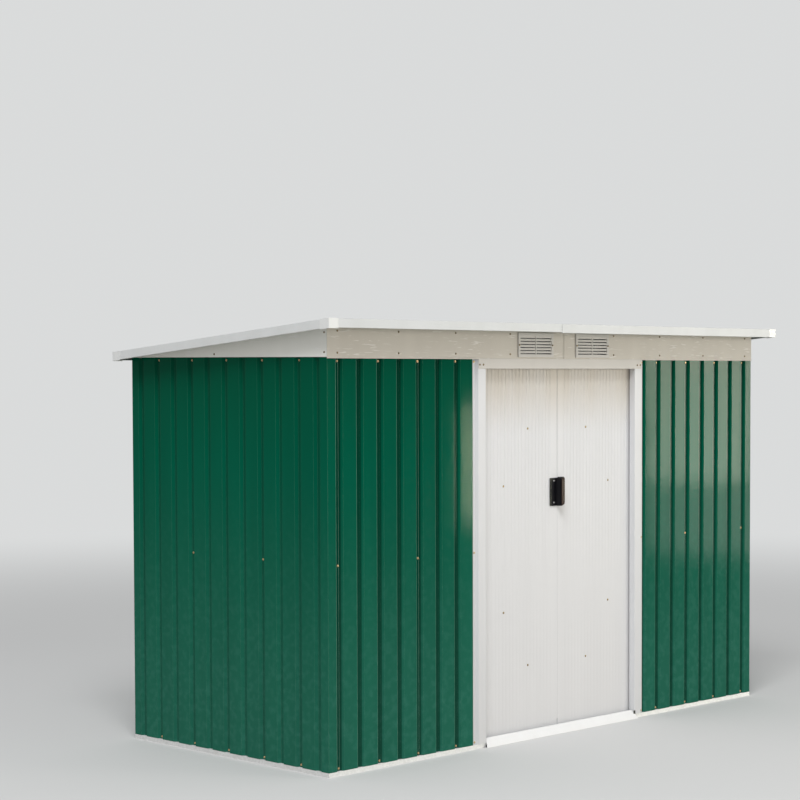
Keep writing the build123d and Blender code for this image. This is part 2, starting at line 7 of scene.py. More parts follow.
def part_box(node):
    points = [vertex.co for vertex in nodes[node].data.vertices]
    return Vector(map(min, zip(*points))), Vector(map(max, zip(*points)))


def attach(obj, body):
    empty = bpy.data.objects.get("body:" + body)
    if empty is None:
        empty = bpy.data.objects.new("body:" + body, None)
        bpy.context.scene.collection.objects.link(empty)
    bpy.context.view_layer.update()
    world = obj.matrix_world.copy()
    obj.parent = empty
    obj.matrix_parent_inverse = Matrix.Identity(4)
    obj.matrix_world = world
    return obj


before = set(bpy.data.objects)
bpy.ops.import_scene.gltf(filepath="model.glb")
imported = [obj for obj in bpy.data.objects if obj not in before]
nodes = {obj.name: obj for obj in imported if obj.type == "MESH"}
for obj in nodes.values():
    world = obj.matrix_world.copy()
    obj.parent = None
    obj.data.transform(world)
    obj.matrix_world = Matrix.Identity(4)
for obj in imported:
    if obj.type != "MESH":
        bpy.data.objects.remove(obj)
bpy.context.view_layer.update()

FRONT, BACK = Vector((0, -1, 0)), Vector((0, 1, 0))
SIDES = (-1, 1)

# Sheet, ribs and grooves of the walls and the roof (all lengths in metres)
sheet = 0.0015
rib_pitch = 0.107
groove_depth = 0.011
first_front_groove = 0.060
first_back_groove = 0.064
first_roof_groove = 0.0815
front_groove_count = 8
side_groove_count = 11
back_groove_count = 25
roof_groove_count = 26
jamb_groove = front_groove_count - 1
front_lap_groove = 4
side_lap_grooves = (3, 7)

# Planes and corners of the shed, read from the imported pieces
front_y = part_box("front_wall_left")[0].y
back_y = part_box("back_wall_left")[1].y
left_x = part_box("left_wall_front")[0].x
right_x = -left_x
fascia_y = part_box("fascia_left")[1].y - sheet
header_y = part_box("door_header")[0].y
vent_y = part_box("vent_left")[0].y
vent_boxes = (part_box("vent_left"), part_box("vent_right"))
door_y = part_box("left_door_panel")[0].y
left_door_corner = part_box("left_door_panel")[1]
handle_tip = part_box("left_door_handle")[0].y
handle_plate = 0.003
handle_plate_y = door_y - handle_plate
ramp_low, ramp_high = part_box("threshold_ramp")

# Slope of the roof
roof_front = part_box("roof_trim_front_left")[0].y
roof_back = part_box("roof_trim_back")[1].y
roof_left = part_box("roof_trim_left")[0].x
roof_top = 1.720
roof_fall = 0.110
roof_slope = roof_fall / (roof_back - roof_front)
roof_up = Vector((0, roof_slope, 1)).normalized()


# Node helpers

def add(tree, kind, **settings):
    node = tree.nodes.new(kind)
    for key, value in settings.items():
        setattr(node, key, value)
    return node


def put(tree, socket, value):
    """Links an output socket to a socket, or sets a plain value on it."""
    if isinstance(value, bpy.types.NodeSocket):
        tree.links.new(value, socket)
    else:
        socket.default_value = value


def math_node(tree, operation, first, second=0.0):
    node = add(tree, "ShaderNodeMath", operation=operation)
    put(tree, node.inputs[0], first)
    put(tree, node.inputs[1], second)
    return node.outputs[0]


def times(tree, first, second):
    return math_node(tree, "MULTIPLY", first, second)


def parts(tree, vector):
    """The X, Y and Z outputs of a vector."""
    node = add(tree, "ShaderNodeSeparateXYZ")
    put(tree, node.inputs[0], vector)
    return node.outputs


def remap(tree, value, low, high, start=0.0, end=1.0):
    """A smooth step from start, where the value is low, to end, where it is high."""
    node = add(tree, "ShaderNodeMapRange", interpolation_type="SMOOTHSTEP")
    put(tree, node.inputs["Value"], value)
    put(tree, node.inputs["From Min"], low)
    put(tree, node.inputs["From Max"], high)
    put(tree, node.inputs["To Min"], start)
    put(tree, node.inputs["To Max"], end)
    return node.outputs["Result"]


def mix(tree, factor, first, second):
    """Blends two colours."""
    node = add(tree, "ShaderNodeMix", data_type="RGBA", blend_type="MIX")
    put(tree, node.inputs[0], factor)
    put(tree, node.inputs[6], first)
    put(tree, node.inputs[7], second)
    return node.outputs[2]


def object_place(tree):
    return add(tree, "ShaderNodeTexCoord").outputs["Object"]


def true_normal(tree):
    return add(tree, "ShaderNodeNewGeometry").outputs["True Normal"]


def noise(tree, place, scale, stretch=(1, 1, 1), detail=3.0):
    mapping = add(tree, "ShaderNodeMapping")
    put(tree, mapping.inputs["Vector"], place)
    mapping.inputs["Scale"].default_value = stretch
    texture = add(tree, "ShaderNodeTexNoise")
    put(tree, texture.inputs["Vector"], mapping.outputs[0])
    texture.inputs["Scale"].default_value = scale
    texture.inputs["Detail"].default_value = detail
    return texture.outputs["Fac"]


def bump(tree, height, distance, normal=None, strength=1.0):
    node = add(tree, "ShaderNodeBump")
    node.inputs["Strength"].default_value = strength
    node.inputs["Distance"].default_value = distance
    put(tree, node.inputs["Height"], height)
    if normal is not None:
        put(tree, node.inputs["Normal"], normal)
    return node.outputs["Normal"]


def rounded_normal(tree, radius):
    """The normal with the sheet's sharp bends rounded off."""
    bevel = add(tree, "ShaderNodeBevel", samples=4)
    put(tree, bevel.inputs["Radius"], radius)
    return bevel.outputs["Normal"]


def calmed_normal(tree, rounded, amount):
    """Turns the front faces' normals towards the front by an amount, which evens fine ribs."""
    facing = parts(tree, true_normal(tree))
    amount = times(tree, amount, remap(tree, facing["Y"], -0.3, -0.5))
    gap = add(tree, "ShaderNodeVectorMath", operation="SUBTRACT")
    put(tree, gap.inputs[0], FRONT)
    put(tree, gap.inputs[1], rounded)
    turned = add(tree, "ShaderNodeVectorMath", operation="MULTIPLY_ADD")
    put(tree, turned.inputs[0], gap.outputs[0])
    put(tree, turned.inputs[1], amount)
    put(tree, turned.inputs[2], rounded)
    unit = add(tree, "ShaderNodeVectorMath", operation="NORMALIZE")
    put(tree, unit.inputs[0], turned.outputs[0])
    return unit.outputs[0]


def edge_mask(tree, rounded):
    """1 along folded and cut edges, 0 on the flats."""
    smooth = add(tree, "ShaderNodeNewGeometry").outputs["Normal"]
    dot = add(tree, "ShaderNodeVectorMath", operation="DOT_PRODUCT")
    put(tree, dot.inputs[0], rounded)
    put(tree, dot.inputs[1], smooth)
    return remap(tree, dot.outputs["Value"], 0.995, 0.86)


def square_on(tree, component):
    """1 where a face looks along the axis of its normal's component, 0 where it is turned away."""
    return remap(tree, math_node(tree, "ABSOLUTE", component), 0.9, 0.98)


def new_finish(name):
    material = bpy.data.materials.new(name)
    material.use_nodes = True
    tree = material.node_tree
    return material, tree, tree.nodes["Principled BSDF"]


def dress(material, *names):
    """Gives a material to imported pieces."""
    for name in names:
        data = nodes[name].data
        data.materials.clear()
        data.materials.append(material)


# Finishes

dust_colour = (0.30, 0.28, 0.23, 1)
# Painted shade in the wall grooves: its colour, and its share on the front and back walls and on the
# side walls
groove_shade = (0.0003, 0.012, 0.006, 1)
front_groove_painted_shade = 0.58
side_groove_painted_shade = 0.20
# Painted highlight on the grooves' left mouth bends: its strength, and its share on the side walls
mouth_highlight = 0.9
side_mouth_highlight_share = 0.30


def groove_shade_masks(tree, place, flat):
    """Masks of the grooves' painted shade, by depth: one for front and back, one for the sides."""
    floor_line, flank_line = groove_depth - 0.002, groove_depth - 0.0065
    lap_line, inner_line = groove_depth + 0.003, groove_depth + 0.006
    at, facing = parts(tree, place), parts(tree, flat)
    behind_side = math_node(tree, "SUBTRACT", right_x, math_node(tree, "ABSOLUTE", at["X"]))
    behind_front = math_node(tree, "SUBTRACT", at["Y"], front_y)
    behind_back = math_node(tree, "SUBTRACT", back_y, at["Y"])
    behind = math_node(tree, "MINIMUM", behind_front, behind_back)
    flank = remap(tree, times(tree, facing["X"], facing["Y"]), 0.3, 0.45)
    flank = times(tree, flank, remap(tree, behind, inner_line, lap_line))
    long_wall = math_node(tree, "MAXIMUM", square_on(tree, facing["Y"]), flank)
    side_wall = square_on(tree, facing["X"])
    front_groove_shade_mask = times(tree, remap(tree, behind, flank_line, floor_line), long_wall)
    side_groove_shade_mask = times(tree, remap(tree, behind_side, flank_line, floor_line), side_wall)
    return front_groove_shade_mask, side_groove_shade_mask


def painted_mouth_highlight(tree, rounded, flat):
    """The left mouth bends of the grooves, given a painted highlight: less of it on the side walls."""
    slight, full = 0.02, 0.12
    turned, facing = parts(tree, rounded), parts(tree, flat)
    sideways = times(tree, turned["X"], times(tree, facing["Y"], -1.0))
    endways = times(tree, turned["Y"], facing["X"])
    long_bend = times(tree, remap(tree, sideways, slight, full), square_on(tree, facing["Y"]))
    side_bend = remap(tree, endways, slight, full, 0.0, side_mouth_highlight_share)
    side_bend = times(tree, side_bend, square_on(tree, facing["X"]))
    return math_node(tree, "MAXIMUM", long_bend, side_bend)


def fleck_mask(tree, place, grain):
    """Short raised flecks along the sheet, gathered in groups."""
    raised = remap(tree, noise(tree, place, scale=1.0, stretch=grain, detail=2.0), 0.58, 0.67)
    groups = noise(tree, place, scale=5.0, stretch=(1.0, 1.0, 2.5), detail=2.0)
    return times(tree, raised, remap(tree, groups, 0.42, 0.55, 0.25, 1.0))


def enamel(name, light, deep, worn_and_highlight, gloss, specular, bend_radius, dirt=0.3, dust_top=0.26,
           dust=dust_colour, wave=0.35, grain=None, ribbed=False, painted_overhang_shade=None, calm=None):
    """Baked enamel on thin sheet: faint streaks, orange peel, dust low down, wear on the bends.

    Dirt is the share of dust at the foot. Wave is the strength of the slight buckling. Grain is the
    stretch of the raised flecks, in the wear colour. Ribbed sheets get painted shade in the grooves
    and, in place of wear, a painted highlight in that colour on the grooves' left mouth bends. The
    painted overhang shade is (lowest, highest, colour, amount) of painted shade under the roof, deeper
    upwards, and calm is (low, high, start, end) of the fine ribs' fading with height.
    """
    material, tree, shader = new_finish(name)
    place = object_place(tree)
    height = parts(tree, place)["Z"]

    streaks = noise(tree, place, scale=9.0, stretch=(1.0, 1.0, 0.06), detail=4.0)
    clouds = noise(tree, place, scale=2.2, stretch=(1.0, 1.0, 0.7), detail=2.0)
    specks = noise(tree, place, scale=38.0, detail=5.0)
    colour = mix(tree, remap(tree, streaks, 0.32, 0.68), deep, light)
    colour = mix(tree, times(tree, clouds, 0.25), colour, light)
    low_down = remap(tree, height, dust_top, 0.015)
    dusty = times(tree, low_down, remap(tree, specks, 0.42, 0.72, 0.65 * dirt, dirt))
    colour = mix(tree, dusty, colour, dust)
    # Painted shade under the roof's overhang, deeper towards the top
    if painted_overhang_shade is not None:
        lowest, highest, overhang_shade_colour, amount = painted_overhang_shade
        streaked = remap(tree, streaks, 0.3, 0.7, 0.8 * amount, 1.2 * amount)
        colour = mix(tree, times(tree, remap(tree, height, lowest, highest), streaked), colour, overhang_shade_colour)

    rounded = rounded_normal(tree, bend_radius)
    if calm is not None:
        rounded = calmed_normal(tree, rounded, remap(tree, height, *calm))
    if ribbed:
        flat = true_normal(tree)
        front_groove_shade_mask, side_groove_shade_mask = groove_shade_masks(tree, place, flat)
        # Painted shade in the grooves, deeper on the front and back walls
        colour = mix(tree, times(tree, front_groove_shade_mask, front_groove_painted_shade), colour, groove_shade)
        colour = mix(tree, times(tree, side_groove_shade_mask, side_groove_painted_shade), colour, groove_shade)
        # Ribbed sheets: a painted highlight on the grooves' left mouth bends, in place of wear on the
        # bends
        marked_edges = times(tree, painted_mouth_highlight(tree, rounded, flat), mouth_highlight)
    else:
        marked_edges = times(tree, edge_mask(tree, rounded), remap(tree, specks, 0.35, 0.7, 0.15, 0.5))
    colour = mix(tree, marked_edges, colour, worn_and_highlight)

    buckling = noise(tree, place, scale=3.1, stretch=(1.0, 1.0, 0.45), detail=1.0)
    orange_peel = noise(tree, place, scale=620.0, detail=1.0)
    surface = bump(tree, buckling, distance=0.004, normal=rounded, strength=wave)
    surface = bump(tree, orange_peel, distance=0.00006, normal=surface, strength=0.5)
    if grain is not None:
        flecks = fleck_mask(tree, place, grain)
        colour = mix(tree, times(tree, flecks, 0.9), colour, worn_and_highlight)
        surface = bump(tree, flecks, distance=0.0006, normal=surface, strength=0.8)

    put(tree, shader.inputs["Base Color"], colour)
    roughness = remap(tree, specks, 0.3, 0.75, gloss - 0.01, gloss + 0.03)
    roughness = math_node(tree, "ADD", roughness, times(tree, dusty, 0.6))
    put(tree, shader.inputs["Roughness"], roughness)
    shader.inputs["Specular IOR Level"].default_value = specular
    put(tree, shader.inputs["Normal"], surface)
    return material


def galvanised(name, dull, bright, weathered):
    """Dull zinc with a fine spangle, greyer where it has weathered."""
    material, tree, shader = new_finish(name)
    place = object_place(tree)
    spangle = add(tree, "ShaderNodeTexVoronoi", feature="F1")
    put(tree, spangle.inputs["Vector"], place)
    spangle.inputs["Scale"].default_value = 170.0
    cells = add(tree, "ShaderNodeSeparateColor")
    put(tree, cells.inputs[0], spangle.outputs["Color"])
    weather = noise(tree, place, scale=14.0, detail=5.0)
    colour = mix(tree, remap(tree, cells.outputs[0], 0.0, 1.0, 0.0, 0.7), dull, bright)
    colour = mix(tree, remap(tree, weather, 0.5, 0.8, 0.0, 0.35), colour, weathered)
    surface = bump(tree, weather, distance=0.0004, normal=rounded_normal(tree, 0.0008), strength=0.3)
    put(tree, shader.inputs["Base Color"], colour)
    shader.inputs["Metallic"].default_value = 0.25
    put(tree, shader.inputs["Roughness"], remap(tree, cells.outputs[1], 0.0, 1.0, 0.42, 0.60))
    put(tree, shader.inputs["Normal"], surface)
    return material


def moulding(name, colour, scuffed, gloss, grip=None, specular=0.5):
    """Moulded plastic with a fine grain and scuffed edges.

    Grip is (tip, root, brown, grip_band) of a handle: brown where hands rub its tip, slightly lighter
    between the tip and the plate.
    """
    material, tree, shader = new_finish(name)
    place = object_place(tree)
    rounded = rounded_normal(tree, 0.0016)
    scuffs = noise(tree, place, scale=90.0, detail=6.0)
    marked_edges = times(tree, edge_mask(tree, rounded), remap(tree, scuffs, 0.35, 0.7, 0.2, 0.9))
    shade = mix(tree, remap(tree, scuffs, 0.5, 0.8, 0.0, 0.25), colour, scuffed)
    shade = mix(tree, marked_edges, shade, scuffed)
    if grip is not None:
        tip, root, brown, grip_band = grip
        depth = parts(tree, place)["Y"]
        handled = remap(tree, depth, tip + 0.013, tip + 0.016)
        handled = times(tree, handled, remap(tree, depth, root, root - 0.003))
        shade = mix(tree, handled, shade, grip_band)
        shade = mix(tree, remap(tree, depth, tip + 0.007, tip + 0.004), shade, brown)
    grain = noise(tree, place, scale=1400.0, detail=2.0)
    surface = bump(tree, grain, distance=0.00008, normal=rounded, strength=0.5)
    put(tree, shader.inputs["Base Color"], shade)
    put(tree, shader.inputs["Roughness"], remap(tree, scuffs, 0.3, 0.8, gloss - 0.05, gloss + 0.12))
    shader.inputs["Specular IOR Level"].default_value = specular
    put(tree, shader.inputs["Normal"], surface)
    return material


def plated(name, bright, tarnish, metallic, gloss):
    """Plated steel for the small fasteners, tarnished in patches."""
    material, tree, shader = new_finish(name)
    patches = noise(tree, object_place(tree), scale=240.0, detail=4.0)
    put(tree, shader.inputs["Base Color"], mix(tree, remap(tree, patches, 0.4, 0.7), bright, tarnish))
    shader.inputs["Metallic"].default_value = metallic
    put(tree, shader.inputs["Roughness"], remap(tree, patches, 0.3, 0.75, gloss, gloss + 0.2))
    return material


long_flecks = (14.0, 14.0, 130.0)

green = enamel(
    "green_enamel",
    light=(0.0001, 0.098, 0.055, 1), deep=(0.0001, 0.086, 0.048, 1), worn_and_highlight=(0.16, 0.38, 0.28, 1),
    gloss=0.07, specular=0.018, bend_radius=0.003, dirt=0.115, dust_top=1.25,
    dust=(0.24, 0.60, 0.52, 1), wave=0.6, ribbed=True,
    # painted shade under the eave: darker green towards the top
    painted_overhang_shade=(1.10, 1.5, (0.0001, 0.056, 0.024, 1), 0.36))
white = enamel(
    "white_enamel",
    light=(0.69, 0.695, 0.715, 1), deep=(0.67, 0.675, 0.69, 1), worn_and_highlight=(0.78, 0.78, 0.79, 1),
    gloss=0.45, specular=0.2, bend_radius=0.0018, dirt=0.02)
# Painted light: the ramp's white is painted brighter than the jambs', for its brightness in full light
ramp_painted_light = enamel(
    "ramp_enamel_painted_light",
    light=(0.82, 0.825, 0.825, 1), deep=(0.80, 0.80, 0.80, 1), worn_and_highlight=(0.75, 0.74, 0.72, 1),
    gloss=0.40, specular=0.3, bend_radius=0.0018, dirt=0.04)
trim_white = enamel(
    "trim_enamel",
    light=(0.635, 0.65, 0.655, 1), deep=(0.60, 0.615, 0.615, 1), worn_and_highlight=(0.74, 0.74, 0.74, 1),
    gloss=0.45, specular=0.2, bend_radius=0.0018, dirt=0.06)
# Painted light: the gables' white is painted brighter than the other whites, against the eave's shade
gable_painted_light = enamel(
    "gable_enamel_painted_light",
    light=(0.90, 0.905, 0.87, 1), deep=(0.88, 0.885, 0.85, 1), worn_and_highlight=(0.93, 0.93, 0.92, 1),
    gloss=0.45, specular=0.2, bend_radius=0.0018, grain=long_flecks)
# Painted shade: the fascia's embossed white is painted darker and beige, for its shade and warm bounce
# under the overhang
embossed_painted_shade = enamel(
    "embossed_enamel_painted_shade",
    light=(0.640, 0.598, 0.530, 1), deep=(0.610, 0.568, 0.503, 1), worn_and_highlight=(0.82, 0.79, 0.74, 1),
    gloss=0.5, specular=0.15, bend_radius=0.0018, grain=long_flecks)
door_white = enamel(
    "door_enamel",
    light=(0.742, 0.744, 0.758, 1), deep=(0.722, 0.724, 0.738, 1), worn_and_highlight=(0.742, 0.744, 0.758, 1),
    gloss=0.5, specular=0.15, bend_radius=0.004, dirt=0.03,
    # painted shade under the overhang and header: a warm tint towards the door's top
    painted_overhang_shade=(1.24, 1.51, (0.55, 0.47, 0.35, 1), 0.52), calm=(0.55, 1.40, 0.85, 0.0))
# Painted shade: the header's white is painted darker and beige, for its shade under the fascia and roof
header_painted_shade = enamel(
    "header_enamel_painted_shade",
    light=(0.640, 0.613, 0.573, 1), deep=(0.620, 0.593, 0.553, 1), worn_and_highlight=(0.70, 0.68, 0.64, 1),
    gloss=0.5, specular=0.15, bend_radius=0.0015, dirt=0.03)
# Painted shade: the vents' white is painted darker and beige, for their shade under the fascia's
# overhang
vent_painted_shade = enamel(
    "vent_enamel_painted_shade",
    light=(0.630, 0.608, 0.575, 1), deep=(0.610, 0.588, 0.555, 1), worn_and_highlight=(0.70, 0.68, 0.64, 1),
    gloss=0.5, specular=0.15, bend_radius=0.001, dirt=0.03)
zinc = galvanised(
    "galvanised_steel",
    dull=(0.68, 0.685, 0.69, 1), bright=(0.79, 0.795, 0.80, 1), weathered=(0.52, 0.49, 0.45, 1))
# Painted shade: a near-black zinc for the rail seen through the vents' slots, standing in for the shade
# behind them
painted_shade_zinc = galvanised(
    "galvanised_steel_painted_shade",
    dull=(0.085, 0.087, 0.09, 1), bright=(0.11, 0.112, 0.115, 1), weathered=(0.07, 0.066, 0.06, 1))
white_plastic = moulding(
    "white_moulding", colour=(0.68, 0.69, 0.69, 1), scuffed=(0.78, 0.78, 0.77, 1), gloss=0.42)
black_plastic = moulding(
    "black_moulding", colour=(0.009, 0.009, 0.010, 1), scuffed=(0.055, 0.042, 0.035, 1), gloss=0.36)
handle_black = moulding(
    "handle_moulding",
    colour=(0.005, 0.005, 0.007, 1), scuffed=(0.016, 0.015, 0.015, 1), gloss=0.36, specular=0.25,
    grip=(handle_tip, handle_plate_y, (0.062, 0.037, 0.028, 1), (0.013, 0.013, 0.015, 1)))
copper = plated(
    "yellow_plating",
    bright=(0.56, 0.42, 0.23, 1), tarnish=(0.38, 0.26, 0.13, 1), metallic=0.6, gloss=0.34)
brass = plated(
    "brass_plating",
    bright=(0.30, 0.22, 0.10, 1), tarnish=(0.16, 0.11, 0.05, 1), metallic=0.6, gloss=0.36)
bronze = plated(
    "tarnished_plating",
    bright=(0.20, 0.15, 0.07, 1), tarnish=(0.10, 0.075, 0.035, 1), metallic=0.6, gloss=0.40)
steel = plated(
    "bright_plating",
    bright=(0.58, 0.58, 0.57, 1), tarnish=(0.36, 0.36, 0.36, 1), metallic=0.7, gloss=0.32)

dress(green, "front_wall_left", "front_wall_right", "left_wall_front", "left_wall_back",
      "right_wall_front", "right_wall_back", "back_wall_left", "back_wall_right",
      "roof_sheet_left", "roof_sheet_right")
dress(white, "jamb_left", "jamb_right")
dress(ramp_painted_light, "threshold_ramp")
dress(trim_white, "roof_trim_front_left", "roof_trim_front_right", "roof_trim_back",
      "roof_trim_left", "roof_trim_right")
dress(embossed_painted_shade, "fascia_left", "fascia_right")
dress(gable_painted_light, "gable_left", "gable_right")
dress(header_painted_shade, "door_header")
dress(vent_painted_shade, "vent_left", "vent_right")
dress(zinc, "base_rail_front", "base_rail_back", "base_rail_left", "base_rail_right", "sill_plate",
      "lower_track", "upper_track", "back_top_rail", "roof_beam",
      "left_door_brace", "right_door_brace")
# painted shade behind the vents
dress(painted_shade_zinc, "front_top_rail")
dress(door_white, "left_door_panel", "right_door_panel", "left_door_bottom_rail",
      "right_door_bottom_rail", "left_door_top_rail", "right_door_top_rail")
dress(white_plastic, "roof_corner_caps")
dress(black_plastic, "left_door_skids", "right_door_skids")
dress(handle_black, "left_door_handle", "right_door_handle")


# Screws and rivets

def screw_tree():
    """Geometry nodes that set a washer and a recessed pan head on every point.

    Each point carries its axis. The tapers, shares and widths are of the washer's or head's own size.
    """
    washer_taper = 0.92
    head_taper = 0.94
    wall_share, crown_share, rim_share, recess_share = 0.55, 0.45, 0.01, -0.5
    crown_width, recess_width, recess_taper = 0.72, 0.5, 0.7

    tree = bpy.data.node_groups.new("set_screws", "GeometryNodeTree")
    face = tree.interface
    face.new_socket("Geometry", in_out="INPUT", socket_type="NodeSocketGeometry")
    for label in ("Head Radius", "Head Height", "Washer Radius", "Washer Height"):
        face.new_socket(label, in_out="INPUT", socket_type="NodeSocketFloat")
    face.new_socket("Sides", in_out="INPUT", socket_type="NodeSocketInt")
    face.new_socket("Seed", in_out="INPUT", socket_type="NodeSocketInt")
    face.new_socket("Finish", in_out="INPUT", socket_type="NodeSocketMaterial")
    face.new_socket("Geometry", in_out="OUTPUT", socket_type="NodeSocketGeometry")
    given = add(tree, "NodeGroupInput").outputs
    result = add(tree, "NodeGroupOutput")
    head_radius, head_height = given["Head Radius"], given["Head Height"]
    washer_radius, washer_height = given["Washer Radius"], given["Washer Height"]

    def cone(bottom, top, depth):
        node = add(tree, "GeometryNodeMeshCone", fill_type="NGON")
        put(tree, node.inputs["Vertices"], given["Sides"])
        put(tree, node.inputs["Radius Top"], top)
        put(tree, node.inputs["Radius Bottom"], bottom)
        put(tree, node.inputs["Depth"], depth)
        return node

    def rise(mesh, selection, amount, scale):
        """Extrudes the selected cap and shrinks it; returns the mesh and the new cap."""
        extrude = add(tree, "GeometryNodeExtrudeMesh", mode="FACES")
        put(tree, extrude.inputs["Mesh"], mesh)
        put(tree, extrude.inputs["Selection"], selection)
        put(tree, extrude.inputs["Offset Scale"], amount)
        extrude.inputs["Individual"].default_value = False
        shrink = add(tree, "GeometryNodeScaleElements", domain="FACE")
        put(tree, shrink.inputs["Geometry"], extrude.outputs["Mesh"])
        put(tree, shrink.inputs["Selection"], extrude.outputs["Top"])
        shrink.inputs["Scale"].default_value = scale
        return shrink.outputs["Geometry"], extrude.outputs["Top"]

    washer = cone(washer_radius, times(tree, washer_radius, washer_taper), washer_height)
    head = cone(head_radius, times(tree, head_radius, head_taper), times(tree, head_height, wall_share))
    mesh, cap = head.outputs["Mesh"], head.outputs["Top"]
    mesh, cap = rise(mesh, cap, times(tree, head_height, crown_share), crown_width)
    mesh, cap = rise(mesh, cap, times(tree, head_height, rim_share), recess_width)
    mesh, cap = rise(mesh, cap, times(tree, head_height, recess_share), recess_taper)
    lift = add(tree, "GeometryNodeTransform")
    put(tree, lift.inputs["Geometry"], mesh)
    upward = add(tree, "ShaderNodeCombineXYZ")
    put(tree, upward.inputs["Z"], washer_height)
    put(tree, lift.inputs["Translation"], upward.outputs[0])
    both = add(tree, "GeometryNodeJoinGeometry")
    tree.links.new(washer.outputs["Mesh"], both.inputs[0])
    tree.links.new(lift.outputs["Geometry"], both.inputs[0])

    axis = add(tree, "GeometryNodeInputNamedAttribute", data_type="FLOAT_VECTOR")
    axis.inputs["Name"].default_value = "axis"
    facing = add(tree, "FunctionNodeAlignRotationToVector", axis="Z")
    put(tree, facing.inputs["Vector"], axis.outputs["Attribute"])
    chance = add(tree, "FunctionNodeRandomValue", data_type="FLOAT")
    chance.inputs[3].default_value = math.tau
    put(tree, chance.inputs["Seed"], given["Seed"])
    spin = add(tree, "FunctionNodeAxisAngleToRotation")
    spin.inputs["Axis"].default_value = (0, 0, 1)
    put(tree, spin.inputs["Angle"], chance.outputs[1])
    turned = add(tree, "FunctionNodeRotateRotation", rotation_space="LOCAL")
    put(tree, turned.inputs["Rotation"], facing.outputs[0])
    put(tree, turned.inputs["Rotate By"], spin.outputs[0])
    placed = add(tree, "GeometryNodeInstanceOnPoints")
    put(tree, placed.inputs["Points"], given["Geometry"])
    put(tree, placed.inputs["Instance"], both.outputs[0])
    put(tree, placed.inputs["Rotation"], turned.outputs[0])
    real = add(tree, "GeometryNodeRealizeInstances")
    put(tree, real.inputs["Geometry"], placed.outputs["Instances"])
    painted = add(tree, "GeometryNodeSetMaterial")
    put(tree, painted.inputs["Geometry"], real.outputs["Geometry"])
    put(tree, painted.inputs["Material"], given["Finish"])
    put(tree, result.inputs[0], painted.outputs["Geometry"])
    return tree


set_screws = screw_tree()


def plain_mesh(carrier, name):
    """The evaluated carrier as a plain mesh object, with the carrier removed."""
    evaluated = carrier.evaluated_get(bpy.context.evaluated_depsgraph_get())
    mesh = bpy.data.meshes.new_from_object(evaluated)
    mesh.name = name
    bpy.data.objects.remove(carrier)
    piece = bpy.data.objects.new(name, mesh)
    bpy.context.scene.collection.objects.link(piece)
    return piece


def screws(name, body, spots, finish, head, washer, seed, sides=12):
    """Sets a screw at each (place, axis); head and washer are (radius, height)."""
    mesh = bpy.data.meshes.new(name)
    mesh.from_pydata([place for place, _ in spots], [], [])
    axes = mesh.attributes.new("axis", "FLOAT_VECTOR", "POINT")
    for item, (_, axis) in zip(axes.data, spots):
        item.vector = axis
    carrier = bpy.data.objects.new(name + "_points", mesh)
    bpy.context.scene.collection.objects.link(carrier)
    modifier = carrier.modifiers.new("screws", "NODES")
    modifier.node_group = set_screws
    values = {
        "Head Radius": head[0], "Head Height": head[1],
        "Washer Radius": washer[0], "Washer Height": washer[1],
        "Sides": sides, "Seed": seed, "Finish": finish,
    }
    for item in set_screws.interface.items_tree:
        if item.in_out == "INPUT" and item.name in values:
            modifier[item.identifier] = values[item.name]
    piece = plain_mesh(carrier, name)
    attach(piece, body)


# Heights of the screw rows on the walls; the side walls' top row rises from front to back
top_row = 1.564
middle_row = 0.795
bottom_row = 0.027
side_top_row = 1.567
side_row_rise = 0.0075
side_middle_lift = 0.004
back_top_drop = 0.02

# Screws of the fascia, the gables (depth behind the front wall, height), the header and the vents
fascia_screw_x = (0.333, 0.655, 0.974, 1.297)
fascia_screw_z = (1.677, 1.595)
gable_screws = ((0.014, 1.671), (0.014, 1.597), (0.655, 1.596))
header_screw_x = (0.495, 0.516)
header_screw_z = 1.552
vent_screw_inset = 0.006

# Screws of the roof in three rows, from front to back
roof_screw_rows = (front_y + 0.040, 0.0, back_y - 0.030)

# Rivets of a door (distance from the shed's middle, height) and screws of its handle
rivet_places = ((0.187, 1.288), (0.337, 1.054), (0.337, 0.533), (0.187, 0.302))
handle_screw_x = 0.0238
handle_screw_below_top = 0.012
handle_screw_above_foot = 0.014


def groove_spots():
    """Screws in the wall grooves: every other groove at head and foot, the laps at mid-height."""
    spots = []
    for side in SIDES:
        outward = Vector((side, 0, 0))
        for groove in range(front_groove_count):
            x = side * (right_x - first_front_groove - rib_pitch * groove)
            at_jamb = groove == jamb_groove
            y = front_y + groove_depth - (sheet if at_jamb else 0)
            if groove % 2 == 0 or at_jamb:
                spots += [(Vector((x, y, z)), FRONT) for z in (top_row, bottom_row)]
            if groove in (0, front_lap_groove, jamb_groove):
                spots.append((Vector((x, y, middle_row)), FRONT))
        for groove in range(1, side_groove_count, 2):
            y = front_y + first_front_groove + rib_pitch * groove
            x = side * (right_x - groove_depth)
            top = side_top_row + side_row_rise * (y - front_y)
            spots += [(Vector((x, y, z)), outward) for z in (top, bottom_row)]
            if groove in side_lap_grooves:
                spots.append((Vector((x, y, middle_row + side_middle_lift)), outward))
    for groove in range(back_groove_count):
        x = left_x + first_back_groove + rib_pitch * groove
        y = back_y - groove_depth
        if groove % 2 == 0:
            spots += [(Vector((x, y, z)), BACK) for z in (top_row - back_top_drop, bottom_row)]
        if groove % 4 == 0:
            spots.append((Vector((x, y, middle_row)), BACK))
    return spots


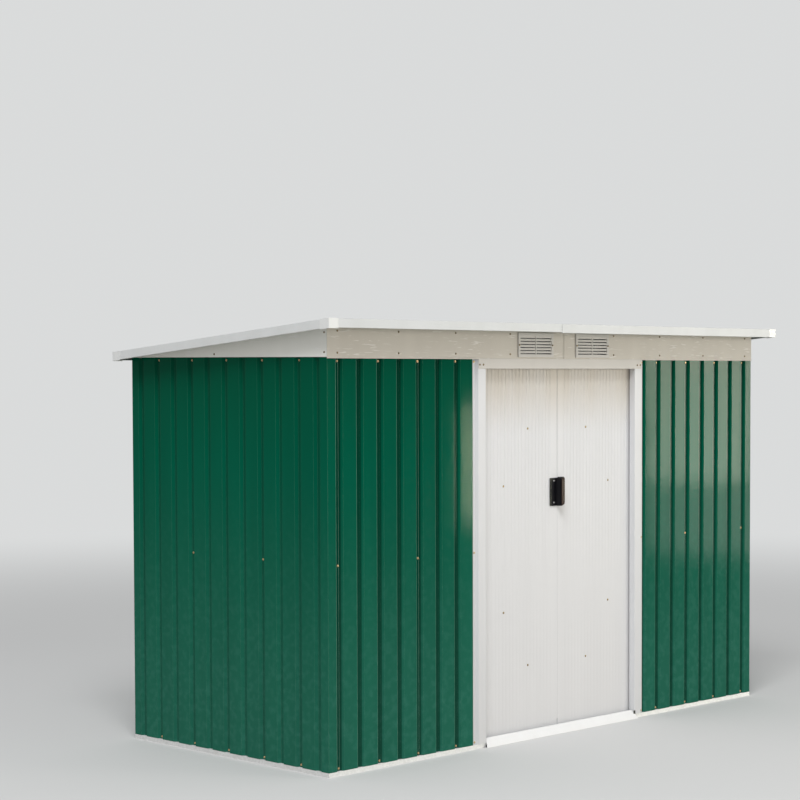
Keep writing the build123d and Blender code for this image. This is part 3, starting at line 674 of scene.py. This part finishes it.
def fascia_spots():
    """Screws of the fascia, the gables, the header and the vents."""
    spots = []
    for side in SIDES:
        for x in fascia_screw_x:
            spots += [(Vector((side * x, fascia_y, z)), FRONT) for z in fascia_screw_z]
        for depth, z in gable_screws:
            spots.append((Vector((side * (right_x + sheet), front_y + depth, z)), Vector((side, 0, 0))))
        for x in header_screw_x:
            spots.append((Vector((side * x, header_y, header_screw_z)), FRONT))
    for low, high in vent_boxes:
        for x in (low.x + vent_screw_inset, high.x - vent_screw_inset):
            spots.append((Vector((x, vent_y, (low.z + high.z) / 2)), FRONT))
    return spots


def roof_spots():
    """Screws in every other groove of the roof."""
    spots = []
    for groove in range(0, roof_groove_count, 2):
        x = roof_left + first_roof_groove + rib_pitch * groove
        for y in roof_screw_rows:
            z = roof_top - (y - roof_front) * roof_slope - sheet - groove_depth
            spots.append((Vector((x, y, z)), roof_up))
    return spots


def door_spots(side):
    return [(Vector((side * x, door_y, z)), FRONT) for x, z in rivet_places]


def handle_spots(side, body):
    low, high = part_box(body + "_handle")
    heights = (high.z - handle_screw_below_top, low.z + handle_screw_above_foot)
    return [(Vector((side * handle_screw_x, handle_plate_y, z)), FRONT) for z in heights]


screws("wall_screws", "shed", groove_spots(), copper,
       head=(0.0034, 0.0024), washer=(0.0048, 0.0008), seed=3)
screws("fascia_screws", "shed", fascia_spots(), bronze,
       head=(0.0034, 0.0022), washer=(0.0042, 0.0005), seed=5)
screws("roof_screws", "shed", roof_spots(), steel,
       head=(0.0040, 0.0028), washer=(0.0072, 0.0012), seed=7)
for side, body in zip(SIDES, ("left_door", "right_door")):
    screws(body + "_rivets", body, door_spots(side), brass,
           head=(0.0042, 0.0014), washer=(0.0048, 0.0003), seed=9)
    screws(body + "_handle_screws", body, handle_spots(side, body), steel,
           head=(0.0036, 0.0014), washer=(0.0038, 0.0003), seed=11)


# Painted light between the doors: a pale strip in their gap; painted shade at the ramp: dark blocks in
# its hollow ends and in the gap at its right end

def prism(name, body, near, far, profile, finish):
    """A prism along X from near to far; its (Y, Z) profile runs anticlockwise seen from +X."""
    mesh = bpy.data.meshes.new(name)
    count = len(profile)
    corners = [(x, y, z) for x in (near, far) for y, z in profile]
    ends = [tuple(reversed(range(count))), tuple(range(count, 2 * count))]
    sides = [(i, (i + 1) % count, count + (i + 1) % count, count + i) for i in range(count)]
    mesh.from_pydata(corners, [], ends + sides)
    mesh.materials.append(finish)
    piece = bpy.data.objects.new(name, mesh)
    bpy.context.scene.collection.objects.link(piece)
    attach(piece, body)


def bar(name, body, low, high, finish):
    """A plain bar between two corners."""
    profile = [(low[1], low[2]), (high[1], low[2]), (high[1], high[2]), (low[1], high[2])]
    prism(name, body, low[0], high[0], profile, finish)


# Painted light: a pale strip in the gap between the doors, which lightens the gap's shade
gap_fill_width = 0.0047
gap_fill_front, gap_fill_back = door_y + 0.0003, door_y + 0.009
gap_fill_foot = 0.056
gap_fill_below_top = 0.004
bar("left_door_gap_painted_light", "left_door",
    (left_door_corner.x, gap_fill_front, gap_fill_foot),
    (left_door_corner.x + gap_fill_width, gap_fill_back, left_door_corner.z - gap_fill_below_top), door_white)

# Painted shade: dark blocks in the ramp's hollow ends, standing in for the shade inside them
shade_block_outer, shade_block_inner = 0.0075, 0.030
shade_block_front, shade_block_back = front_y - 0.0105, front_y - 0.0006
shade_block_foot, shade_block_top = 0.0008, 0.0092
shade_block_profile = [(shade_block_front, shade_block_foot), (shade_block_back, shade_block_foot), (shade_block_back, shade_block_top)]
prism("ramp_end_painted_shade_left", "shed", ramp_low.x + shade_block_outer, ramp_low.x + shade_block_inner,
      shade_block_profile, black_plastic)
prism("ramp_end_painted_shade_right", "shed", ramp_high.x - shade_block_inner, ramp_high.x - shade_block_outer,
      shade_block_profile, black_plastic)

# Painted shade: a dark block in the gap at the ramp's right end, standing in for the shade there
gap_shade_left, gap_shade_right = 0.4745, 0.4845
gap_shade_front, gap_shade_back = front_y - 0.0040, front_y - 0.0016
gap_shade_foot, gap_shade_top = 0.0195, 0.0345
bar("ramp_gap_painted_shade", "shed",
    (gap_shade_left, gap_shade_front, gap_shade_foot), (gap_shade_right, gap_shade_back, gap_shade_top), black_plastic)


# Studio

background = (0.70, 0.71, 0.71, 1)
floor_reach = 45.0
floor_melt_start, floor_melt_end = 3.0, 11.0
floor_seen = (0.61, 0.61, 0.605, 1)
floor_bounce = (0.56, 0.525, 0.475, 1)
sky_colour = (0.97, 0.985, 1.0, 1)
sky_low, sky_high = 0.33, 0.55


def floor_finish():
    """Pale floor near the shed that melts into the background farther out."""
    material, tree, shader = new_finish("studio_floor")
    place = add(tree, "ShaderNodeNewGeometry").outputs["Position"]
    length = add(tree, "ShaderNodeVectorMath", operation="LENGTH")
    put(tree, length.inputs[0], place)
    far = remap(tree, length.outputs["Value"], floor_melt_start, floor_melt_end)
    bounced = add(tree, "ShaderNodeLightPath").outputs["Is Diffuse Ray"]
    put(tree, shader.inputs["Base Color"], mix(tree, bounced, floor_seen, floor_bounce))
    shader.inputs["Roughness"].default_value = 0.9
    shader.inputs["Specular IOR Level"].default_value = 0.1
    surface = bump(tree, noise(tree, place, scale=60.0), distance=0.001, strength=0.1)
    put(tree, shader.inputs["Normal"], surface)
    glow = add(tree, "ShaderNodeEmission")
    glow.inputs["Color"].default_value = background
    blend = add(tree, "ShaderNodeMixShader")
    put(tree, blend.inputs[0], far)
    put(tree, blend.inputs[1], shader.outputs[0])
    put(tree, blend.inputs[2], glow.outputs[0])
    put(tree, tree.nodes["Material Output"].inputs["Surface"], blend.outputs[0])
    return material


def make_floor():
    mesh = bpy.data.meshes.new("floor")
    corners = [(-1, -1), (1, -1), (1, 1), (-1, 1)]
    mesh.from_pydata([(floor_reach * x, floor_reach * y, 0) for x, y in corners], [], [(0, 1, 2, 3)])
    mesh.materials.append(floor_finish())
    floor = bpy.data.objects.new("floor", mesh)
    bpy.context.scene.collection.objects.link(floor)


def make_world():
    """A pale surround for the camera and the gloss; a softer sky, brighter overhead, for the rest."""
    world = bpy.data.worlds.new("studio")
    bpy.context.scene.world = world
    world.use_nodes = True
    tree = world.node_tree
    seen = tree.nodes["Background"]
    seen.inputs["Color"].default_value = background
    sky = add(tree, "ShaderNodeBackground")
    height = parts(tree, add(tree, "ShaderNodeTexCoord").outputs["Generated"])["Z"]
    sky.inputs["Color"].default_value = sky_colour
    put(tree, sky.inputs["Strength"], remap(tree, height, -0.1, 0.9, sky_low, sky_high))
    path = add(tree, "ShaderNodeLightPath")
    straight = math_node(tree, "MAXIMUM", path.outputs["Is Camera Ray"], path.outputs["Is Glossy Ray"])
    straight = math_node(tree, "MAXIMUM", straight, path.outputs["Is Transmission Ray"])
    blend = add(tree, "ShaderNodeMixShader")
    put(tree, blend.inputs[0], straight)
    put(tree, blend.inputs[1], sky.outputs[0])
    put(tree, blend.inputs[2], seen.outputs[0])
    put(tree, tree.nodes["World Output"].inputs["Surface"], blend.outputs[0])


def softbox(name, place, target, size, power, colour, gloss_only=False):
    """A rectangular lamp; one for gloss only lends its reflection and casts no shadow."""
    lamp = bpy.data.lights.new(name, "AREA")
    lamp.shape = "RECTANGLE"
    lamp.size, lamp.size_y = size
    lamp.energy = power
    lamp.color = colour
    holder = bpy.data.objects.new(name, lamp)
    bpy.context.scene.collection.objects.link(holder)
    holder.visible_diffuse = not gloss_only
    holder.location = place
    holder.rotation_euler = (Vector(target) - Vector(place)).to_track_quat("-Z", "Y").to_euler()


def make_camera():
    """The photograph's camera, found by fitting the shed's straight edges to it."""
    place = (-6.347, -5.9812, 1.5021)
    yaw, pitch, roll = 0.7824, -0.0404, -0.0032
    data = bpy.data.cameras.new("camera")
    data.sensor_width = 36.0
    data.lens = 88.997
    data.shift_y = 0.0716
    data.clip_end = 200.0
    camera = bpy.data.objects.new("camera", data)
    bpy.context.scene.collection.objects.link(camera)
    turn = Matrix.Rotation(-yaw, 4, "Z") @ Matrix.Rotation(math.pi / 2 + pitch, 4, "X")
    turn = turn @ Matrix.Rotation(roll, 4, "Z")
    camera.matrix_world = Matrix.Translation(place) @ turn
    bpy.context.scene.camera = camera


make_floor()
make_world()
softbox("overhead_softbox", place=(-6.4, -5.4, 10.4), target=(0, 0, 0.8),
        size=(5.4, 5.4), power=1090.0, colour=(0.99, 0.995, 1.0))
softbox("front_softbox", place=(3.6, -7.6, 2.0), target=(0.2, -0.5, 1.0),
        size=(2.2, 2.2), power=132.0, colour=(1.0, 0.96, 0.87))
softbox("right_reflection", place=(6.97, -5.0, 1.75), target=(0.4, -0.5, 1.0),
        size=(0.95, 2.3), power=290.0, colour=(1.0, 0.96, 0.80), gloss_only=True)
softbox("low_reflection", place=(6.97, -5.0, 0.3), target=(0.97, -0.56, 0.8),
        size=(0.95, 0.55), power=26.0, colour=(1.0, 0.97, 0.86), gloss_only=True)
softbox("narrow_reflection", place=(4.28, -5.0, 0.85), target=(-0.6, -0.56, 1.2),
        size=(0.14, 0.9), power=42.0, colour=(0.97, 1.0, 0.66), gloss_only=True)
make_camera()
bpy.context.scene.view_settings.view_transform = "Standard"
